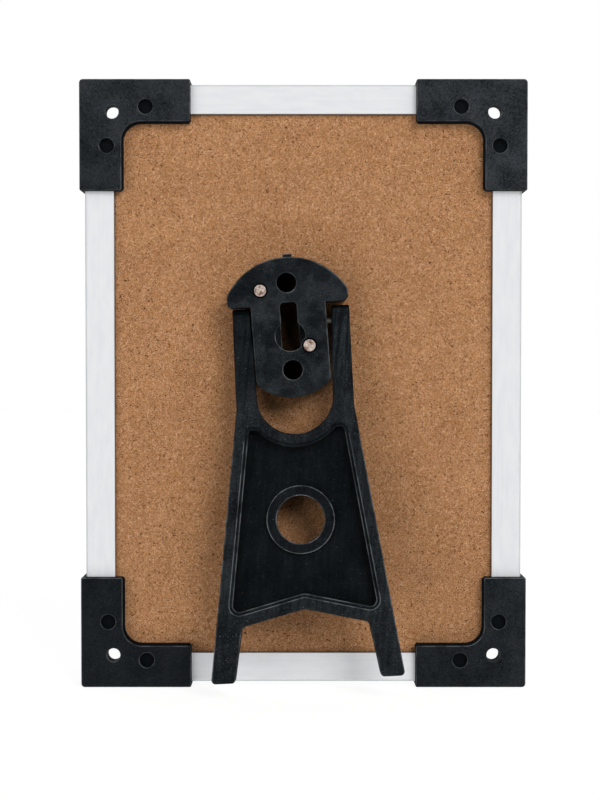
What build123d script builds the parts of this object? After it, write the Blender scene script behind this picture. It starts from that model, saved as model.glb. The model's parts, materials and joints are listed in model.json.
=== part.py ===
from build123d import *
from math import cos, radians, sin, sqrt
import os

# Easel back photo frame, with its leg a little open. +Z is up, +X is right as seen from the back,
# and -Y faces the viewer who looks at the back. A level is a distance from the XZ plane towards
# the back.
# All lengths are in millimetres and all angles in degrees.

# Sheets between the front and rear lips of the rails, for a 13 x 18 cm print
sheet_width = 127.0
sheet_height = 178.4
sheet_side_gap = 0.3
glazing_thickness = 2.0
print_thickness = 0.3
filler_thickness = 0.6
board_thickness = 3.0
stack_gap = 0.1

# Extruded aluminium rails
rail_width = 9.3
rail_wall = 1.2
rail_lip = 1.1
rail_groove_depth = 3.5
rail_back_rounding = 1.2
rail_front_rounding = 0.8
rail_end_gap = 0.2

# Moulded corner caps
cap_wall = 1.4
cap_front_plate = 1.6
cap_back_plate = 1.8
cap_inner_lip = 2.7
cap_arm_length = 35.2
cap_corner_rounding = 1.2
cap_end_easing = 0.1
cap_inner_rounding = 6.0
cap_edge_rounding = 0.5
cap_slot_gap = 0.1
lip_step = 0.4
lip_side_gap = 0.1
lip_end_inset = 0.5
lip_board_gap = 0.15
lip_bite = 0.3
corner_hole_radius = 2.1
corner_hole_inset = 10.4
corner_hole_depth = 4.0
counterbore_radius = 4.4
counterbore_wall = 0.8
corner_block_wall = 1.2
corner_block_gap = 0.35
recess_radius = 2.35
recess_depth = 1.6
recess_along = 21.0
recess_across = 8.7
rim_rounding = 0.3
tongue_length = 10.0
tongue_gap = 0.15
tongue_lead_in = 0.8

# Place and skew of the stand on the back panel
hinge_offset = -4.4
foot_rise = 5.1
bracket_skew = 4.27
leg_skew = 2.75
leg_open = 6.5
leg_side_shift = 0.6
foot_gap = 0.3

# Leg outline, measured from the hinge line
leg_reach = 110.85
leg_thickness = 5.6
arm_top = 5.05
arm_width = 6.43
arm_side_gap = 0.2
arm_mouth_flare = 0.8
arm_kink_drop = 26.7
fork_drop = 23.02
foot_side_room = 5.89
foot_end_width = 7.44
foot_root_width = 8.06
foot_length = 16.84
chevron_rise = 4.79
foot_rounding = 1.3
knee_rounding = 2.0
chevron_rounding = 3.0
kink_rounding = 12.0
heel_rounding = 1.6
crown_rounding = 1.3
leg_edge_rounding = 0.5

# Pocket and finger ring of the leg
rim_width = 3.43
fork_rim_width = 3.01
chevron_width = 3.74
pocket_top_step = 9.24
pocket_top_rounding = 2.0
pocket_bottom_rounding = 3.0
ledge_width = 1.0
ledge_depth = 1.0
web_thickness = 2.0
ring_shift = -0.05
ring_hole_radius = 7.55
ring_width = 3.1
ring_height = 1.2

# Hinge bracket, measured from the hinge line
bracket_height = 8.5
bracket_plate = 2.4
bracket_wall = 2.0
bracket_edge_rounding = 0.6
body_half_width = 11.81
body_drop = 18.5
body_rounding = 1.5
belly_drop = 23.2
dome_rise = 11.17
wing_overhang = 0.645
wing_gap = 0.93
wing_edge_height = 3.73
wing_rounding = 1.8
screw_hole_radius = 3.1
screw_boss_wall = 1.6
upper_screw_rise = 12.8
lower_screw_drop = 14.6
keyhole_radius = 4.7
keyhole_drop = 4.0
keyhole_slot_width = 5.3
keyhole_slot_top = 6.65
keyhole_slot_rounding = 1.3
keyhole_channel_width = 5.7
keyhole_rib_width = 2.2
keyhole_head_room = 3.2
pin_block_width = 5.0
pin_block_depth = 3.2
gate_nub_width = 3.0
gate_nub_height = 0.9
gate_nub_shift = 0.8
gate_nub_thickness = 2.0
gate_nub_drop = 1.2

# Hinge pins and rivets
pin_radius = 1.0
pin_running_gap = 0.05
pin_recess = 0.3
pin_root_gap = 0.2
pin_chamfer = 0.2
rivet_shank_radius = 1.4
rivet_tail_radius = 1.9
rivet_tail_height = 0.65
rivet_tail_rounding = 0.15
rivet_head_radius = 4.0
rivet_head_thickness = 0.8
rivet_gap = 0.05
rivet_seat_gap = 0.3
rivet_seat_depth = 0.8
rivet_boss_wall = 1.3
upper_rivet = (-8.4, 10.9)
lower_rivet = (5.8, -7.3)

# Room around selected corners, and the overrun of every through cut
pick_room = 0.01
overrun = 1.0

# Depth of the stack, from the front of the caps to the foot of the open leg
sheet_stack = glazing_thickness + print_thickness + filler_thickness + board_thickness
groove_width = sheet_stack + stack_gap
rail_depth = groove_width + 2 * rail_lip
leg_lift = stack_gap + rail_lip + foot_gap
pin_rise = leg_lift + leg_thickness / 2
foot_out = pin_rise + leg_thickness / 2 * cos(radians(leg_open)) + leg_reach * sin(radians(leg_open))
total_depth = cap_front_plate + rail_lip + sheet_stack + foot_out
cap_front_level = -total_depth / 2
rail_front_level = cap_front_level + cap_front_plate
groove_front_level = rail_front_level + rail_lip
print_level = groove_front_level + glazing_thickness
filler_level = print_level + print_thickness
board_level = filler_level + filler_thickness
board_back_level = board_level + board_thickness
cap_depth = cap_front_plate + rail_depth + cap_back_plate

# Overall size, and what the caps, rails and sheets share
sheet_inset = cap_wall + rail_width - rail_groove_depth + sheet_side_gap
overall_width = sheet_width + 2 * sheet_inset
overall_height = sheet_height + 2 * sheet_inset
chamber_width = rail_width - rail_groove_depth - 2 * rail_wall
cap_arm_width = cap_wall + rail_width + cap_inner_lip
cap_end_rounding = cap_edge_rounding + cap_end_easing
block_edge = corner_hole_inset + counterbore_radius + corner_block_wall
block_line = 2 * corner_hole_inset + sqrt(2) * (counterbore_radius + counterbore_wall)
sheet_corner_cut = block_line + sqrt(2) * corner_block_gap - 2 * sheet_inset
rail_setback = block_edge + rail_end_gap

# Stand: the bracket's plane, the leg's plane and the hinge line between them
hinge_height = foot_rise + leg_reach
fork_half_width = body_half_width + arm_side_gap
arm_half_span = fork_half_width + arm_width
wing_half_span = arm_half_span + wing_overhang
wing_base = arm_top + wing_gap
wing_tip = wing_base + wing_edge_height
dome_top = wing_tip + dome_rise
dome_radius = (wing_half_span**2 + dome_rise**2) / (2 * dome_rise)
dome_centre = dome_top - dome_radius
bracket_ceiling = bracket_height - bracket_plate


def stand_plane(shift, skew):
    """A plane on the back panel at the hinge, facing the back, turned by skew."""
    return Plane(
        origin=(hinge_offset + shift, -board_back_level, hinge_height),
        x_dir=(cos(radians(skew)), 0, sin(radians(skew))),
        z_dir=(0, -1, 0),
    )


def corners_at(sketch, height):
    """The corners of a sketch that lie at one height."""
    return sketch.vertices().filter_by_position(Axis.Y, height - pick_room, height + pick_room)


bracket_plane = stand_plane(0, bracket_skew)
leg_plane = stand_plane(leg_side_shift, leg_skew)
pin_plane = Plane(
    origin=bracket_plane.from_local_coords((0, 0, pin_rise)),
    x_dir=bracket_plane.y_dir,
    z_dir=bracket_plane.x_dir,
)
screw_holes = [(0, upper_screw_rise), (0, -lower_screw_drop)]
rivet_places = [upper_rivet, lower_rivet]

os.makedirs("parts", exist_ok=True)

# Rails: one extrusion with a hollow chamber outside and a groove for the sheets inside.
# Each starts from its outer edge, with its local X inwards and its local Y to the back.
side_rail_length = overall_height - 2 * rail_setback
cross_rail_length = overall_width - 2 * rail_setback
side_rail_place = overall_width / 2 - cap_wall
rails = {
    "rail_left": ((-side_rail_place, overall_height / 2), (1, 0), side_rail_length),
    "rail_right": ((side_rail_place, overall_height / 2), (-1, 0), side_rail_length),
    "rail_bottom": ((0, cap_wall), (0, 1), cross_rail_length),
    "rail_top": ((0, overall_height - cap_wall), (0, -1), cross_rail_length),
}
for name, (place, inward, length) in rails.items():
    rail_plane = Plane(
        origin=(place[0], -rail_front_level, place[1]),
        x_dir=(inward[0], 0, inward[1]),
        z_dir=(inward[1], 0, -inward[0]),
    )
    with BuildPart() as rail:
        with BuildSketch(rail_plane) as profile:
            Rectangle(rail_width, rail_depth, align=(Align.MIN, Align.MIN))
            fillet(profile.vertices().group_by(Axis.X)[0].sort_by(Axis.Y)[-1], rail_back_rounding)
            fillet(profile.vertices().group_by(Axis.X)[0].sort_by(Axis.Y)[0], rail_front_rounding)
            with Locations((rail_wall, rail_lip)):
                Rectangle(chamber_width, groove_width, align=(Align.MIN, Align.MIN), mode=Mode.SUBTRACT)
            with Locations((rail_width - rail_groove_depth, rail_lip)):
                Rectangle(
                    rail_groove_depth, groove_width, align=(Align.MIN, Align.MIN), mode=Mode.SUBTRACT
                )
        extrude(amount=length / 2, both=True)
    rail.part.label = name
    export_step(rail.part, f"parts/{name}.step")

# Corner caps: an L of two plates and an outer wall, with slots for the rails, a corner block
# round the screw hole, a tongue into each rail's chamber, and a low lip under the back plate
# that holds the back panel in. The screw hole is counterbored from the front for the screw's
# head. One moulding fits all corners.
slot_length = cap_arm_length - block_edge + overrun
slot_width = rail_width + cap_slot_gap
tongue_width = chamber_width - 2 * tongue_gap
tongue_depth = groove_width - 2 * tongue_gap
tongue_across = cap_wall + rail_wall + tongue_gap
sheet_space_start = sheet_inset - sheet_side_gap
lip_start = cap_wall + slot_width + lip_side_gap
lip_reach = cap_arm_width + lip_step
lip_length = cap_arm_length - lip_end_inset
lip_height = stack_gap + rail_lip - lip_board_gap + lip_bite
caps = {
    "corner_cap_bottom_left": ((-overall_width / 2, 0), (1, 0)),
    "corner_cap_bottom_right": ((overall_width / 2, 0), (0, 1)),
    "corner_cap_top_right": ((overall_width / 2, overall_height), (-1, 0)),
    "corner_cap_top_left": ((-overall_width / 2, overall_height), (0, -1)),
}
for name, (corner, along) in caps.items():
    corner_plane = Plane(
        origin=(corner[0], 0, corner[1]), x_dir=(along[0], 0, along[1]), z_dir=(0, -1, 0)
    )
    diagonal = Axis((0, 0, 0), (1, 1, 0))
    with BuildPart() as cap:
        with BuildSketch(corner_plane.offset(cap_front_level)) as outline:
            with BuildLine():
                Polyline(
                    (0, 0),
                    (cap_arm_length, 0),
                    (cap_arm_length, cap_arm_width),
                    (cap_arm_width, cap_arm_width),
                    (cap_arm_width, cap_arm_length),
                    (0, cap_arm_length),
                    close=True,
                )
            make_face()
            fillet(outline.vertices().sort_by(diagonal)[-4:], cap_end_rounding)
            fillet(outline.vertices().sort_by(diagonal)[1], cap_inner_rounding)
            fillet(outline.vertices().sort_by(diagonal)[0], cap_corner_rounding)
        extrude(amount=cap_depth)
        plates = cap.faces().filter_by(Axis.Y)
        fillet(plates.edges(), cap_edge_rounding)
        with BuildSketch(corner_plane.offset(rail_front_level)):
            with Locations((block_edge, cap_wall)):
                Rectangle(slot_length, slot_width, align=(Align.MIN, Align.MIN))
            with Locations((cap_wall, block_edge)):
                Rectangle(slot_width, slot_length, align=(Align.MIN, Align.MIN))
        extrude(amount=rail_depth, mode=Mode.SUBTRACT)
        with BuildSketch(corner_plane.offset(groove_front_level)) as sheet_space:
            with Locations((sheet_space_start, sheet_space_start)):
                Rectangle(cap_arm_length, cap_arm_length, align=(Align.MIN, Align.MIN))
            chamfer(sheet_space.vertices().sort_by(diagonal)[0], block_line - 2 * sheet_space_start)
        extrude(amount=groove_width, mode=Mode.SUBTRACT)
        with BuildSketch(corner_plane.offset(board_back_level + lip_board_gap)) as lip:
            with BuildLine():
                Polyline(
                    (lip_start, lip_start),
                    (lip_length, lip_start),
                    (lip_length, lip_reach),
                    (lip_reach, lip_reach),
                    (lip_reach, lip_length),
                    (lip_start, lip_length),
                    close=True,
                )
            make_face()
            fillet(lip.vertices().sort_by(diagonal)[1], cap_inner_rounding - lip_step)
        extrude(amount=lip_height)
        for turned in (False, True):
            foot = (tongue_across, block_edge) if turned else (block_edge, tongue_across)
            size = (tongue_width, tongue_length) if turned else (tongue_length, tongue_width)
            with BuildSketch(corner_plane.offset(groove_front_level + tongue_gap)) as tongue:
                with Locations(foot):
                    Rectangle(*size, align=(Align.MIN, Align.MIN))
                tip = tongue.vertices().group_by(Axis.Y if turned else Axis.X)[-1]
                chamfer(tip, tongue_lead_in)
            extrude(amount=tongue_depth)
        with BuildSketch(corner_plane.offset(cap_front_level)):
            with Locations((corner_hole_inset, corner_hole_inset)):
                Circle(corner_hole_radius)
        extrude(amount=cap_depth, mode=Mode.SUBTRACT)
        with BuildSketch(corner_plane.offset(cap_front_level)):
            with Locations((corner_hole_inset, corner_hole_inset)):
                Circle(counterbore_radius)
        extrude(amount=cap_depth - corner_hole_depth, mode=Mode.SUBTRACT)
        with BuildSketch(corner_plane.offset(cap_front_level + cap_depth)):
            with Locations((recess_along, recess_across), (recess_across, recess_along)):
                Circle(recess_radius)
        extrude(amount=-recess_depth, mode=Mode.SUBTRACT)
        back_edges = cap.faces().sort_by(Axis.Y)[0].edges().filter_by(GeomType.CIRCLE)
        rims = back_edges.filter_by(lambda edge: edge.is_closed)
        fillet(rims, rim_rounding)
    cap.part.label = name
    export_step(cap.part, f"parts/{name}.step")

# Sheets: clear glazing, the print card and a filler card, all cut to one outline with clipped
# corners that clear the caps' corner blocks.
sheets = {
    "glazing": (groove_front_level, glazing_thickness),
    "print_card": (print_level, print_thickness),
    "filler_card": (filler_level, filler_thickness),
}
for name, (level, thickness) in sheets.items():
    with BuildPart() as sheet:
        with BuildSketch(Plane.XZ.offset(level)) as cut:
            with Locations((0, overall_height / 2)):
                Rectangle(sheet_width, sheet_height)
            chamfer(cut.vertices(), sheet_corner_cut)
        extrude(amount=thickness)
    sheet.part.label = name
    export_step(sheet.part, f"parts/{name}.step")

# Back panel: hardboard with a counterbored hole for each rivet, its wide end on the inner face
with BuildPart() as back_panel:
    with BuildSketch(Plane.XZ.offset(board_level)) as cut:
        with Locations((0, overall_height / 2)):
            Rectangle(sheet_width, sheet_height)
        chamfer(cut.vertices(), sheet_corner_cut)
    extrude(amount=board_thickness)
    with BuildSketch(bracket_plane):
        with Locations(rivet_places):
            Circle(rivet_shank_radius + rivet_gap)
    extrude(amount=-board_thickness, mode=Mode.SUBTRACT)
    with BuildSketch(bracket_plane.offset(-board_thickness)):
        with Locations(rivet_places):
            Circle(rivet_head_radius + rivet_gap)
    extrude(amount=rivet_head_thickness, mode=Mode.SUBTRACT)
back_panel.part.label = "back_panel"
export_step(back_panel.part, "parts/back_panel.step")

# Hinge bracket: a domed head with two wings over the leg's arms, on a body that the arms
# straddle. It is hollow below, with bosses for the screws and rivets, ribs beside the
# keyhole's channel, and a block that holds each hinge pin.
cavity_half_width = body_half_width - bracket_wall
cavity_shoulder = dome_centre + sqrt((dome_radius - bracket_wall) ** 2 - cavity_half_width**2)
rib_place = keyhole_channel_width / 2 + keyhole_rib_width / 2
rib_length = lower_screw_drop + upper_screw_rise
pin_block_place = cavity_half_width - pin_block_depth / 2
with BuildPart() as bracket:
    with BuildSketch(bracket_plane) as outline:
        with BuildLine():
            dome = ThreePointArc((-wing_half_span, wing_tip), (0, dome_top), (wing_half_span, wing_tip))
            Polyline(
                dome @ 1,
                (wing_half_span, wing_base),
                (body_half_width, wing_base),
                (body_half_width, -body_drop),
            )
            belly = ThreePointArc(
                (body_half_width, -body_drop), (0, -belly_drop), (-body_half_width, -body_drop)
            )
            Polyline(
                belly @ 1,
                (-body_half_width, wing_base),
                (-wing_half_span, wing_base),
                dome @ 0,
            )
        make_face()
        fillet(outline.vertices().group_by(Axis.X)[0], wing_rounding)
        fillet(outline.vertices().group_by(Axis.X)[-1], wing_rounding)
        fillet(corners_at(outline, -body_drop), body_rounding)
    extrude(amount=bracket_height)
    fillet(bracket.faces().sort_by(Axis.Y)[0].edges(), bracket_edge_rounding)
    with BuildSketch(bracket_plane):
        with BuildLine():
            vault = ThreePointArc(
                (-cavity_half_width, cavity_shoulder),
                (0, dome_top - bracket_wall),
                (cavity_half_width, cavity_shoulder),
            )
            Line(vault @ 1, (cavity_half_width, -body_drop))
            ThreePointArc(
                (cavity_half_width, -body_drop),
                (0, bracket_wall - belly_drop),
                (-cavity_half_width, -body_drop),
            )
            Line((-cavity_half_width, -body_drop), vault @ 0)
        make_face()
    extrude(amount=bracket_ceiling, mode=Mode.SUBTRACT)
    with BuildSketch(bracket_plane):
        with Locations(screw_holes):
            Circle(screw_hole_radius + screw_boss_wall)
        with Locations(rivet_places):
            Circle(rivet_shank_radius + rivet_boss_wall)
        with Locations((-pin_block_place, 0), (pin_block_place, 0)):
            Rectangle(pin_block_depth, pin_block_width)
    extrude(amount=bracket_ceiling)
    with BuildSketch(bracket_plane):
        with Locations((-rib_place, -lower_screw_drop), (rib_place, -lower_screw_drop)):
            Rectangle(keyhole_rib_width, rib_length, align=(Align.CENTER, Align.MIN))
    extrude(amount=bracket_ceiling - keyhole_head_room)
    with BuildSketch(bracket_plane):
        with Locations(screw_holes):
            Circle(screw_hole_radius)
        with Locations(rivet_places):
            Circle(rivet_shank_radius + rivet_gap)
    extrude(amount=bracket_height, mode=Mode.SUBTRACT)
    with BuildSketch(bracket_plane.offset(bracket_ceiling)) as keyhole:
        with Locations((0, -keyhole_drop)):
            Circle(keyhole_radius)
            Rectangle(
                keyhole_slot_width, keyhole_drop + keyhole_slot_top, align=(Align.CENTER, Align.MIN)
            )
        fillet(corners_at(keyhole, keyhole_slot_top), keyhole_slot_rounding)
    extrude(amount=bracket_plate, mode=Mode.SUBTRACT)
    with BuildSketch(bracket_plane.offset(bracket_height)):
        with Locations(rivet_places):
            Circle(rivet_tail_radius + rivet_seat_gap)
    extrude(amount=-rivet_seat_depth, mode=Mode.SUBTRACT)
    with BuildSketch(pin_plane):
        Circle(pin_radius)
    extrude(amount=body_half_width, both=True, mode=Mode.SUBTRACT)
    with BuildSketch(bracket_plane.offset(bracket_height - gate_nub_drop)):
        with Locations((gate_nub_shift, dome_top + gate_nub_height)):
            Rectangle(gate_nub_width, gate_nub_height + bracket_wall, align=(Align.CENTER, Align.MAX))
    extrude(amount=-gate_nub_thickness)
bracket.part.label = "hinge_bracket"
export_step(bracket.part, "parts/hinge_bracket.step")

# Easel leg: two arms that straddle the bracket, a thin web with a raised finger ring in a
# stepped pocket, a chevron bar and two splayed feet that stand between the bottom caps. It is
# drawn folded flat, and then opened about the hinge pins.
foot_spread = overall_width / 2 - cap_arm_length - foot_side_room
knee_drop = leg_reach - foot_length
pocket_top_drop = fork_drop + pocket_top_step
flare = (foot_spread - arm_half_span) / (leg_reach - arm_kink_drop)
knee_half_width = arm_half_span + flare * (knee_drop - arm_kink_drop) - foot_root_width
chevron_drop = knee_drop - chevron_rise
chevron_slope = chevron_rise / knee_half_width
pocket_half_top = arm_half_span + flare * (pocket_top_drop - arm_kink_drop) - rim_width
pocket_peak_drop = chevron_drop - chevron_width
fork_rim_drop = fork_drop + fork_half_width + fork_rim_width
ring_drop = (fork_rim_drop + pocket_peak_drop) / 2 + ring_shift
pocket_corner_drop = (
    pocket_peak_drop + chevron_slope * (pocket_half_top - flare * pocket_top_drop)
) / (1 - chevron_slope * flare)
pocket_half_bottom = pocket_half_top + flare * (pocket_corner_drop - pocket_top_drop)
leg_face = leg_lift + leg_thickness
leg_up = Axis(leg_plane.origin, leg_plane.y_dir)
leg_across = Axis(leg_plane.origin, leg_plane.x_dir)
with BuildPart() as leg:
    with BuildSketch(leg_plane.offset(leg_lift)) as outline:
        with BuildLine():
            fork = CenterArc((0, -fork_drop), fork_half_width, 0, -90)
            Polyline(
                fork @ 0,
                (fork_half_width + arm_mouth_flare, arm_top),
                (arm_half_span, arm_top),
                (arm_half_span, -arm_kink_drop),
                (foot_spread, -leg_reach),
                (foot_spread - foot_end_width, -leg_reach),
                (knee_half_width, -knee_drop),
                (0, -chevron_drop),
            )
            mirror(about=Plane.YZ)
        make_face()
        fillet(corners_at(outline, -leg_reach), foot_rounding)
        fillet(corners_at(outline, -knee_drop), knee_rounding)
        fillet(corners_at(outline, -chevron_drop), chevron_rounding)
        fillet(corners_at(outline, -arm_kink_drop), kink_rounding)
    extrude(amount=leg_thickness)
    arm_ends = leg.faces().sort_by(leg_up)[-2:].edges().filter_by(leg_across)
    fillet(arm_ends.sort_by(Axis.Y)[-2:], heel_rounding)
    arm_ends = leg.faces().sort_by(leg_up)[-2:].edges().filter_by(leg_across)
    fillet(arm_ends.sort_by(Axis.Y)[:2], crown_rounding)
    face_edges = leg.faces().sort_by(Axis.Y)[0].edges()
    fillet(face_edges.filter_by(leg_across, reverse=True), leg_edge_rounding)
    with BuildSketch(leg_plane.offset(leg_face)) as pocket:
        with BuildLine():
            Polyline(
                (-pocket_half_top, -pocket_top_drop),
                (pocket_half_top, -pocket_top_drop),
                (pocket_half_bottom, -pocket_corner_drop),
                (0, -pocket_peak_drop),
                (-pocket_half_bottom, -pocket_corner_drop),
                close=True,
            )
        make_face()
        with Locations((0, -fork_drop)):
            Circle(fork_half_width + fork_rim_width, mode=Mode.SUBTRACT)
        fillet(corners_at(pocket, -pocket_top_drop), pocket_top_rounding)
        fillet(corners_at(pocket, -pocket_corner_drop), pocket_bottom_rounding)
        fillet(corners_at(pocket, -pocket_peak_drop), chevron_rounding)
    extrude(amount=-ledge_depth, mode=Mode.SUBTRACT)
    with BuildSketch(leg_plane.offset(leg_face)):
        offset(pocket.sketch_local.face(), amount=-ledge_width, mode=Mode.ADD)
    extrude(amount=web_thickness - leg_thickness, mode=Mode.SUBTRACT)
    with BuildSketch(leg_plane.offset(leg_lift)):
        with Locations((0, -ring_drop)):
            Circle(ring_hole_radius + ring_width)
    extrude(amount=web_thickness + ring_height)
    with BuildSketch(leg_plane.offset(leg_lift)):
        with Locations((0, -ring_drop)):
            Circle(ring_hole_radius)
    extrude(amount=leg_thickness, mode=Mode.SUBTRACT)
    with BuildSketch(pin_plane):
        Circle(pin_radius + pin_running_gap)
    extrude(amount=arm_half_span + leg_side_shift + overrun, both=True, mode=Mode.SUBTRACT)
opened_leg = leg.part.rotate(Axis(pin_plane.origin, pin_plane.z_dir), -leg_open)
opened_leg.label = "easel_leg"
export_step(opened_leg, "parts/easel_leg.step")

# Hinge pins: two steel stubs, each held in the bracket and carrying one arm of the leg
pin_root = cavity_half_width - pin_block_depth + pin_root_gap
pin_tip = arm_half_span - leg_side_shift - pin_recess
for name, side in {"hinge_pin_left": -1, "hinge_pin_right": 1}.items():
    with BuildPart() as pin:
        with BuildSketch(pin_plane.offset(side * pin_root)):
            Circle(pin_radius)
        extrude(amount=side * (pin_tip - pin_root))
        chamfer(pin.edges().filter_by(GeomType.CIRCLE), pin_chamfer)
    pin.part.label = name
    export_step(pin.part, f"parts/{name}.step")

# Rivets: a wide flat head in the back panel's inner face, and a flat set end sunk in the bracket
rivet_seat_level = bracket_height - rivet_seat_depth
for name, place in {"rivet_upper": upper_rivet, "rivet_lower": lower_rivet}.items():
    rivet_foot = bracket_plane.from_local_coords((*place, 0))
    rivet_plane = Plane(
        origin=rivet_foot, x_dir=bracket_plane.x_dir, z_dir=-bracket_plane.y_dir
    )
    with BuildPart() as rivet:
        with BuildSketch(rivet_plane) as section:
            with BuildLine():
                Polyline(
                    (0, -board_thickness),
                    (rivet_head_radius, -board_thickness),
                    (rivet_head_radius, rivet_head_thickness - board_thickness),
                    (rivet_shank_radius, rivet_head_thickness - board_thickness),
                    (rivet_shank_radius, rivet_seat_level),
                    (rivet_tail_radius, rivet_seat_level),
                    (rivet_tail_radius, rivet_seat_level + rivet_tail_height),
                    (0, rivet_seat_level + rivet_tail_height),
                    close=True,
                )
            make_face()
            fillet(section.vertices().group_by(Axis.Y)[-1].sort_by(Axis.X)[-1], rivet_tail_rounding)
        revolve(axis=Axis(rivet_foot, bracket_plane.z_dir))
    rivet.part.label = name
    export_step(rivet.part, f"parts/{name}.step")
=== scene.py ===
import json
import math

import bmesh
import bpy
from mathutils import Matrix, Quaternion, Vector


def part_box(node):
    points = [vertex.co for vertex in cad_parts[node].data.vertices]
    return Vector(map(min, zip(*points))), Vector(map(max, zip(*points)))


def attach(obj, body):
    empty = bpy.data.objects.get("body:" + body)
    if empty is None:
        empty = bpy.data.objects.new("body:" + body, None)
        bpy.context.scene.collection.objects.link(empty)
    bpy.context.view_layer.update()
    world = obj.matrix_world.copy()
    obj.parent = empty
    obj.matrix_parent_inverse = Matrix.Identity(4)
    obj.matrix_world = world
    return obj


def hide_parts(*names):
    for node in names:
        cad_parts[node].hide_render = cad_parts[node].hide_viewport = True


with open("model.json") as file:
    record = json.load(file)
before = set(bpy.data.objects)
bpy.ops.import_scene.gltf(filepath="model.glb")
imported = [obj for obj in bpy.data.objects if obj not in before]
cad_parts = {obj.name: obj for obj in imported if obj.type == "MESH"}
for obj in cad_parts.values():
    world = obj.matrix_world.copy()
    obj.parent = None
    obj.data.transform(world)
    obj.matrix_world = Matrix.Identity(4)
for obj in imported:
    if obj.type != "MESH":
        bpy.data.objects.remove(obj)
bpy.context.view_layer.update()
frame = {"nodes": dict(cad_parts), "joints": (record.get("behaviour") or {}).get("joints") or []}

# Clear front sheet: 2 mm acrylic, sawn to size with clipped corners and left unpolished at
# its edges. It lies first in the rails' grooves, with a hair of air between it and the print.


class Value:
    """One output of a shader node. Sums and products of these add Math nodes."""

    def __init__(self, socket):
        self.socket = socket
        self.tree = socket.id_data

    def node(self, kind, settings, sockets, output=0):
        """A new node with its settings made first, then its sockets set or linked."""
        made = self.tree.nodes.new(kind)
        for name, setting in settings.items():
            setattr(made, name, setting)
        for name, given in sockets.items():
            if isinstance(given, Value):
                self.tree.links.new(given.socket, made.inputs[name])
            else:
                made.inputs[name].default_value = given
        return Value(made.outputs[output])

    def math(self, operation, first, second):
        return self.node("ShaderNodeMath", {"operation": operation}, {0: first, 1: second})

    def __add__(self, other):
        return self.math("ADD", self, other)

    def __sub__(self, other):
        return self.math("SUBTRACT", self, other)

    def __rsub__(self, other):
        return self.math("SUBTRACT", other, self)

    def __mul__(self, other):
        return self.math("MULTIPLY", self, other)

    __radd__ = __add__
    __rmul__ = __mul__

    def larger(self, other):
        return self.math("MAXIMUM", self, other)

    def magnitude(self):
        return self.larger(0 - self)

    def between(self, low, high):
        """0 below low, 1 above high, and a smooth step from one to the other."""
        limits = {"Value": self, "From Min": low, "From Max": high}
        return self.node("ShaderNodeMapRange", {"interpolation_type": "SMOOTHSTEP"}, limits)

    def along(self, direction):
        """How far these coordinates lie in one direction."""
        sides = {0: self, 1: direction}
        return self.node("ShaderNodeVectorMath", {"operation": "DOT_PRODUCT"}, sides, 1)

    def apart(self, point):
        """How far these coordinates lie from a point."""
        return self.node("ShaderNodeVectorMath", {"operation": "DISTANCE"}, {0: self, 1: point}, 1)

    def noise(self, size, detail=0.0, turn=0.0, output=0):
        """Noise on these coordinates, its grains of that size in metres along X, Y and Z."""
        room = {"Vector": self, "Rotation": (0, math.radians(turn), 0), "Scale": size}
        laid = self.node("ShaderNodeMapping", {"vector_type": "TEXTURE"}, room)
        return laid.node("ShaderNodeTexNoise", {}, {"Vector": laid, "Scale": 1, "Detail": detail}, output)

    def mix(self, first, second):
        """The first colour where this is 0, the second where it is 1."""
        colours = {0: self, 6: first, 7: second}
        return self.node("ShaderNodeMix", {"data_type": "RGBA"}, colours, 2)

    def bump(self, depth, **normal):
        """A normal pressed in and out by this height, over that depth in metres."""
        return self.node("ShaderNodeBump", {}, {"Height": self, "Distance": depth, **normal})

    def to(self, shader, name):
        self.tree.links.new(self.socket, shader.inputs[name])


def tone(red, green, blue):
    """A colour given as it looks on a screen, from 0 to 255, for a shader socket."""
    shares = [level / 255 for level in (red, green, blue)]
    return (*[s / 12.92 if s < 0.04045 else ((s + 0.055) / 1.055) ** 2.4 for s in shares], 1)


def start_finish(name, **fixed):
    """A new material with its fixed settings, its shader and its Object coordinates."""
    material = bpy.data.materials.new(name)
    material.use_nodes = True
    shader = material.node_tree.nodes["Principled BSDF"]
    for socket, setting in fixed.items():
        shader.inputs[socket.replace("_", " ")].default_value = setting
    coordinates = material.node_tree.nodes.new("ShaderNodeTexCoord")
    return material, shader, Value(coordinates.outputs["Object"])


def dress(material, *nodes):
    """Gives CAD nodes their finish."""
    for node in nodes:
        frame["nodes"][node].material_slots[0].material = material


def even(size):
    return (size, size, size)


clear, shader, place = start_finish("clear_acrylic", Base_Color=tone(236, 243, 242), Alpha=0.1, IOR=1.49)
smears = place.noise((0.02, 0.02, 0.05), 3, 25).between(0.45, 0.75)
(0.04 + 0.1 * smears).to(shader, "Roughness")
low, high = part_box("glazing")
mid_sheet = Matrix.Translation((0, -(low[1] + high[1]) / 2, 0))
thinning = 0.97
same_point = 0.000001
sheet_form = bmesh.new()
sheet_form.from_mesh(frame["nodes"]["glazing"].data)
bmesh.ops.remove_doubles(sheet_form, verts=sheet_form.verts, dist=same_point)
bmesh.ops.scale(sheet_form, vec=(1, thinning, 1), space=mid_sheet, verts=sheet_form.verts)
sheet_mesh = bpy.data.meshes.new("clear_sheet")
sheet_form.to_mesh(sheet_mesh)
sheet_form.free()
sheet_mesh.materials.append(clear)
clear_sheet = bpy.data.objects.new("clear_sheet", sheet_mesh)
bpy.context.scene.collection.objects.link(clear_sheet)
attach(clear_sheet, "frame")
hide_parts("glazing")

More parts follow.
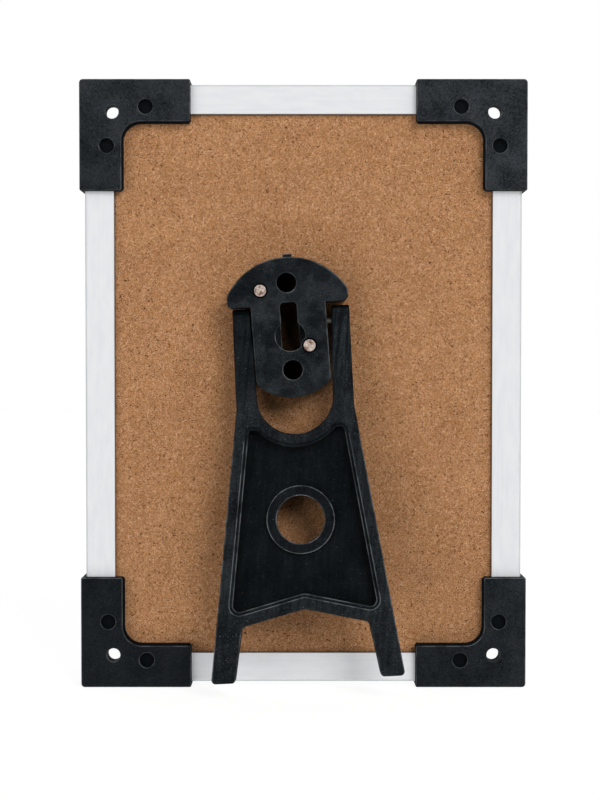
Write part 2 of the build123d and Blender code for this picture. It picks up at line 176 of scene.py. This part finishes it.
# Print: the plain card that fills the picture's place, semi-matt photo board, 0.3 mm thick.
# It is cut to the sheet size and lies behind the clear sheet.
card, shader, place = start_finish("blank_card", Specular_IOR_Level=0.4)
fibre = place.noise(even(0.0006), 3)
cloud = place.noise(even(0.03), 2)
paper = (fibre * 0.6 + cloud * 0.4).between(0.3, 0.7)
paper.mix(tone(238, 236, 229), tone(246, 244, 238)).to(shader, "Base Color")
(0.42 + 0.12 * fibre).to(shader, "Roughness")
fibre.bump(0.00001).to(shader, "Normal")
dress(card, "print_card")

# Filler: grey board made from waste paper, 0.6 mm, punched like the print. It packs the stack
# tight against the back panel.
board, shader, place = start_finish("grey_board", Specular_IOR_Level=0.3, Roughness=0.9)
pulp = place.noise(even(0.0008), 4)
fleck = place.noise((0.0012, 0.0003, 0.0003), 0, 35).between(0.66, 0.74)
grey = pulp.between(0.3, 0.7).mix(tone(150, 147, 140), tone(176, 173, 166))
(fleck * 0.6).mix(grey, tone(96, 92, 88)).to(shader, "Base Color")
pulp.bump(0.00004).to(shader, "Normal")
dress(board, "filler_card")

# Back panel: 3 mm hardboard, pressed from brown wood fibre and sawn to size. Its smooth face is
# outside, where short fibres and bark specks show, with painted shade along the rails' inner edges
# and under the bracket, where the bracket's holes show it.
rail_edge_x = 0.0603
rail_edge_z = 0.0860
panel_middle_z = 0.0967
hardboard, shader, place = start_finish("hardboard", Specular_IOR_Level=0.04, Roughness=0.85)
stray = place.noise(even(0.0012), 1, output=1)
bent = place.node(
    "ShaderNodeVectorMath", {"operation": "MULTIPLY_ADD"}, {0: stray, 1: even(0.0010), 2: place}
)
grit = place.noise(even(0.00023), 1)
felt = bent.noise(even(0.0006), 1)
cloud = place.noise(even(0.009), 3)
brown = (grit * 0.80 + felt * 0.09 + cloud * 0.11).between(0.27, 0.73)
colour = brown.mix(tone(118, 73, 40), tone(217, 161, 113))
for turn in (8, 52, 97, 141):
    strand = bent.noise((0.0015, 0.01, 0.00018), 0, turn)
    colour = (strand.between(0.70, 0.77) * 0.6).mix(colour, tone(224, 180, 142))
    groove = bent.noise((0.0012, 0.01, 0.00018), 0, turn + 23)
    colour = (groove.between(0.70, 0.77) * 0.55).mix(colour, tone(104, 66, 38))
for turn in (-15, 30, 70):
    bark = bent.noise((0.0008, 0.01, 0.00034), 0, turn).between(0.77, 0.81)
    colour = (bark * 0.9).mix(colour, tone(62, 38, 24))
across = place.along((1, 0, 0)).magnitude()
upright = (place.along((0, 0, 1)) - panel_middle_z).magnitude()
# Painted shade: a dark seam on the panel along the rails' inner edges, where their lips shade it.
painted_seam_shade = (across - rail_edge_x).larger(upright - rail_edge_z).between(-0.0007, 0.0001)
colour = (painted_seam_shade * 0.75).mix(colour, tone(58, 38, 26))
# Painted shade: the panel is darkened under the bracket, where its holes and keyhole show it.
low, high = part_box("hinge_bracket")
bracket_middle = (low + high) / 2
shade_half_width = 0.0105
shade_half_height = (high.z - low.z) / 2 - 0.003
aside = (place.along((1, 0, 0)) - bracket_middle.x).magnitude() - shade_half_width
above = (place.along((0, 0, 1)) - bracket_middle.z).magnitude() - shade_half_height
painted_bracket_shade = aside.larger(above).between(0.001, -0.001)
(painted_bracket_shade * 0.9).mix(colour, tone(26, 15, 9)).to(shader, "Base Color")
(grit * 0.7 + felt * 0.3).bump(0.00006).to(shader, "Normal")
dress(hardboard, "back_panel")

# Rails: four lengths of one extruded aluminium section, satin finished along their length and
# sawn square. The corner caps cover their ends, and their grooves hold the sheets.


def satin_aluminium(name, along):
    """Aluminium with fine lines along one axis, 0 for X and 2 for Z, and turned-down edges painted darker
    as shade.
    """
    line = [0.00022, 0.00022, 0.00022]
    line[along] = 0.05
    patch = [0.0022, 0.0022, 0.0022]
    patch[along] = 0.009
    material, shader, place = start_finish(name, Metallic=0.25, Specular_IOR_Level=0.2)
    lines = place.noise(tuple(line), 2)
    patches = place.noise(tuple(patch), 2)
    metal = patches.between(0.3, 0.7).mix(tone(229, 231, 234), tone(235, 236, 238))
    metal = (lines.between(0.5, 0.8) * 0.5).mix(metal, tone(219, 222, 225))
    turned = place.node("ShaderNodeTexCoord", {}, {}, 1)
    # Painted shade: faces that turn away from the back, the rails' outer edges, are darkened.
    edge = turned.along((0, 1, 0)).magnitude().between(0.93, 0.35)
    edge.mix(metal, tone(184, 187, 190)).to(shader, "Base Color")
    (0.36 + 0.14 * lines).to(shader, "Roughness")
    lines.bump(0.000006).to(shader, "Normal")
    return material


dress(satin_aluminium("satin_aluminium_cross", 0), "rail_bottom", "rail_top")
dress(satin_aluminium("satin_aluminium_upright", 2), "rail_left", "rail_right")

# Corner caps: black moulded plastic, finely spark-eroded, with a painted sheen that is stronger
# towards the top right and painted shade below the face. Each is pushed over two rail ends and held by its
# tongues.
caps = [name for name in frame["nodes"] if name.startswith("corner_cap")]


def moulded_black(name, dark, light, worn_and_lit_edge_tone, outward, look):
    """Black plastic with a cloudy bloom, a fine grain, dust specks and paler edges round the face
    that looks outward, partly rubbed and partly a painted highlight that is stronger on edges
    that look up. The look says for each place how far it has gone from dark to light, which
    carries painted sheen and shade as well as the plastic's own tone, how far edges that look
    down are pale too, and how far any edge is pale."""
    material, shader, place = start_finish(name, Specular_IOR_Level=0.03)
    bloom = place.noise(even(0.008), 3)
    mottle = place.noise(even(0.0013), 2)
    grain = place.noise(even(0.00038), 1)
    pale_and_painted_light, below, touched = look(place)
    body = (pale_and_painted_light * (bloom * 0.4 + mottle * 0.14 + grain * 0.46).between(0.27, 0.73)).mix(dark, light)
    dust = place.noise(even(0.00042), 0).between(0.74, 0.82) * pale_and_painted_light
    body = (dust * 0.5).mix(body, tone(104, 108, 112))
    soft_edge = place.node("ShaderNodeBevel", {"samples": 6}, {"Radius": 0.0003})
    inward = {"samples": 8, "inside": True, "only_local": True}
    kept = place.node("ShaderNodeAmbientOcclusion", inward, {"Distance": 0.0005}, 1)
    facing = place.node("ShaderNodeTexCoord", {}, {}, 1).along(outward)
    rounding = facing.between(0.97, 0.88) * facing.between(0.3, 0.55)
    handling = touched * (0.3 + 0.7 * place.noise(even(0.004), 2).between(0.4, 0.6))
    # Painted highlight: pale edges are stronger where they look up, towards the light.
    lit_upper_edges = below + (1 - below) * soft_edge.along((0, 0, 1)).between(-0.15, 0.08)
    edge = (1 - kept).between(0.1, 0.42).larger(rounding * 0.7)
    worn_and_lit_edges = edge * handling * lit_upper_edges * pale_and_painted_light.between(0.15, 0.24)
    worn_and_lit_edges.mix(body, worn_and_lit_edge_tone).to(shader, "Base Color")
    (0.5 + 0.2 * grain).to(shader, "Roughness")
    (grain * 0.6 + mottle * 0.4).bump(0.00005, Normal=soft_edge).to(shader, "Normal")
    return material


cap_face_y = 0.0025155
cap_side_x = 0.0695
cap_side_z = 0.0952


def painted_sheen_and_shade(place):
    """Painted sheen, palest at the top right, and painted shade on the steps and in the holes below the
    face.
    """
    # Painted sheen, paler towards the top right, and painted shade below the face.
    bloom = 0.25 + 0.73 * place.along((0.8, 0, 1)).between(-0.06, 0.26)
    sunk = place.along((0, 1, 0)).between(cap_face_y + 0.0001, cap_face_y + 0.0003)
    across = place.along((1, 0, 0)).magnitude() - cap_side_x
    upright = (place.along((0, 0, 1)) - panel_middle_z).magnitude() - cap_side_z
    inside = across.larger(upright).between(0.0004, 0)
    return bloom * (1 - 0.85 * (sunk * inside)), 0.5, 1


cap_plastic = moulded_black(
    "cap_plastic", tone(12, 16, 19), tone(64, 68, 72), tone(110, 114, 118), (0, -1, 0), painted_sheen_and_shade
)
dress(cap_plastic, *caps)

# Hinge bracket: black moulded plastic, hollow below, with a keyhole for a wall screw and two
# screw holes. Two rivets hold it on the back panel, a little crooked.
rivets = ("rivet_upper", "rivet_lower")
seat_radius = 0.0023
seats = []
for rivet in rivets:
    low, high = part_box(rivet)
    seats.append(((low[0] + high[0]) / 2, low[1], (low[2] + high[2]) / 2))


def patchy(place):
    """Paler in a few broad patches, and painted black as shade in the seats of the rivets."""
    pale_and_painted_light = 0.5 + 0.5 * place.noise(even(0.005), 1).between(0.42, 0.6)
    for seat in seats:
        # Painted shade: the plastic in the rivets' seats is darkest.
        pale_and_painted_light = pale_and_painted_light * place.apart(seat).between(seat_radius, seat_radius + 0.0004)
    return pale_and_painted_light, 0.1, 1


bracket_plastic = moulded_black(
    "bracket_plastic", tone(4, 7, 9), tone(52, 57, 60), tone(106, 110, 113), (0, -1, 0), patchy
)
dress(bracket_plastic, "hinge_bracket")

# Rivets: coppered steel, set cold on the bracket's face, so their flat ends are bruised and
# stained. Their wide heads lie sunk in the panel's inner face.
coppered, shader, place = start_finish("coppered_steel", Metallic=0.75)
bruise = place.noise(even(0.0007), 2)
stain = place.noise(even(0.0013), 1)
pink = bruise.between(0.35, 0.65).mix(tone(166, 146, 135), tone(206, 194, 185))
stain.between(0.52, 0.68).mix(pink, tone(126, 96, 82)).to(shader, "Base Color")
(0.35 + 0.2 * bruise).to(shader, "Roughness")
bruise.bump(0.0001).to(shader, "Normal")
dress(coppered, *rivets)

# Hinge pins: two dull steel stubs pressed into the bracket, one through each arm of the leg.
steel, shader, place = start_finish("dull_steel", Metallic=0.6)
scuff = place.noise((0.0004, 0.0002, 0.0002), 2)
scuff.between(0.3, 0.7).mix(tone(88, 83, 76), tone(124, 118, 110)).to(shader, "Base Color")
(0.4 + 0.2 * scuff).to(shader, "Roughness")
dress(steel, "hinge_pin_left", "hinge_pin_right")

# Easel leg: black moulded plastic, one piece with its two arms, stepped pocket, finger ring and
# splayed feet. It turns on the two pins, and hands have rubbed its outer faces paler.
hinge = next(joint for joint in frame["joints"] if joint["name"] == "leg_hinge")
leg_open = math.radians(-hinge["range_deg"][0])
leg_out = Quaternion(hinge["axis"], leg_open) @ Vector((0, -1, 0))
leg_up = Vector(hinge["axis"]).cross(leg_out)
pin_level = leg_out.dot(hinge["pos_m"])
pin_rise = leg_up.dot(hinge["pos_m"])
half_thickness = 0.0028
fork_drop = 0.02302
arc_reach = 0.0172
pocket_top = -0.037
arm_end = 0.0031
fork_middle = Vector(hinge["pos_m"]) - leg_up * fork_drop + leg_out * half_thickness
web_level = pin_level - 0.0008
face_level = pin_level + half_thickness
skew = math.degrees(math.atan2(hinge["axis"][2], hinge["axis"][0]))


def handled_and_shaded(place):
    """Dark down in the pocket, paler on the outer faces, with streaks along the leg that are
    stronger on its arms, and painted shade from the bracket on the left arm's upper part. The
    arms' ends are painted black as the shadow of the bracket's wings, and the pocket's upper
    arc, under the fork, gets no pale edges, as painted shade."""
    outer = place.along(leg_out).between(web_level, face_level)
    rise = place.along(leg_up) - pin_rise
    streak = place.noise((0.0011, 0.01, 0.016), 1, skew).between(0.36, 0.6)
    pale_and_painted_light = (0.3 + 0.7 * outer) * (1 - (0.35 + 0.3 * rise.between(-0.022, -0.012)) * (1 - streak))
    # Painted shade: the left arm's upper part, beside the bracket, is darker.
    left_arm_shade = place.along((1, 0, 0)).between(-0.013, -0.016) * rise.between(-0.028, -0.018)
    pale_and_painted_light = pale_and_painted_light * (1 - 0.45 * left_arm_shade)
    # Painted shade: the pocket's upper arc, under the fork, gets no pale edges.
    under_fork = place.apart(fork_middle).between(arc_reach + 0.0006, arc_reach)
    shaded_arc = under_fork.larger(rise.between(pocket_top, pocket_top + 0.002))
    # Painted shadow: the arms' ends, under the bracket's wings, are black.
    pale_and_painted_light = pale_and_painted_light * rise.between(arm_end + 0.0007, arm_end)
    return pale_and_painted_light, 1 - 0.9 * outer.between(0.4, 0.6), 1 - shaded_arc


leg_plastic = moulded_black(
    "leg_plastic", tone(4, 7, 9), tone(48, 53, 56), tone(116, 120, 123), leg_out, handled_and_shaded
)
dress(leg_plastic, "easel_leg")

# Studio: a pale floor that reads as white and keeps a soft shadow, white surroundings that light
# the back from a ring of slanting directions, a broad lamp at the top right, another on the left
# and the camera square to the back.
floor_drop = 0.0001
floor_half = 3.0
floor_mesh = bpy.data.meshes.new("studio_floor")
floor_form = bmesh.new()
bmesh.ops.create_grid(floor_form, x_segments=1, y_segments=1, size=floor_half)
bmesh.ops.translate(floor_form, verts=floor_form.verts, vec=(0, 0, -floor_drop))
floor_form.to_mesh(floor_mesh)
floor_form.free()
floor = bpy.data.objects.new("studio_floor", floor_mesh)
bpy.context.scene.collection.objects.link(floor)
floor.visible_diffuse = False
floor.visible_shadow = False


def seen_white(tree):
    """1 on the rays that see the surroundings themselves, 0 on those that only light the part."""
    path = tree.nodes.new("ShaderNodeLightPath")
    camera, glossy, clear = (
        Value(path.outputs[kind]) for kind in ("Is Camera Ray", "Is Glossy Ray", "Is Transmission Ray")
    )
    return camera.larger(glossy).larger(clear)


floor_paint, shader, place = start_finish(
    "floor_paint", Base_Color=(0.2, 0.2, 0.2, 1), Specular_IOR_Level=0, Roughness=1, Emission_Strength=0.89
)
white_glow = seen_white(floor_paint.node_tree).mix((0, 0, 0, 1), (1, 1, 1, 1))
white_glow.to(shader, "Emission Color")
floor_mesh.materials.append(floor_paint)

viewer_light = 0.02
side_light = 0.82
under_light = 1.20
picture_light = 1.0
world = bpy.data.worlds.new("studio_surround")
world.use_nodes = True
surround = world.node_tree.nodes["Background"]
surround.inputs["Color"].default_value = (1, 1, 1, 1)
outlook = Value(world.node_tree.nodes.new("ShaderNodeTexCoord").outputs["Generated"])
behind = outlook.along((0, 1, 0))
ring = behind.between(-0.72, -0.48) * behind.between(-0.22, -0.38)
beneath = outlook.along((0, 0, 1)).between(0.35, -0.35)
glow = viewer_light + ring * (side_light + under_light * beneath)
glow = glow + picture_light * behind.between(0.1, 0.5)
(glow + (1 - glow) * seen_white(world.node_tree)).to(surround, "Strength")
bpy.context.scene.world = world

aim = Vector((0, 0, 0.1))
lamps = {
    "key_lamp": ((1.42, -2.12, 1.75), 1.4, 52.0),
    "fill_lamp": ((-2.10, -2.24, 0.10), 1.92, 24.0),
}
for name, (spot, size, power) in lamps.items():
    light = bpy.data.lights.new(name, "AREA")
    light.size = size
    light.energy = power
    lamp = bpy.data.objects.new(name, light)
    lamp.location = spot
    lamp.visible_glossy = False
    lamp.rotation_euler = (aim - lamp.location).to_track_quat("-Z", "Y").to_euler()
    bpy.context.scene.collection.objects.link(lamp)

camera_tilt = 1.3546
lens = bpy.data.cameras.new("viewer")
lens.lens = 59.07
lens.sensor_width = 36.0
viewer = bpy.data.objects.new("viewer", lens)
viewer.location = (-0.0010826, -0.4144845, 0.101703)
viewer.rotation_euler = (math.radians(90 - camera_tilt), 0, 0)
bpy.context.scene.collection.objects.link(viewer)
bpy.context.scene.camera = viewer
bpy.context.scene.view_settings.view_transform = "Standard"
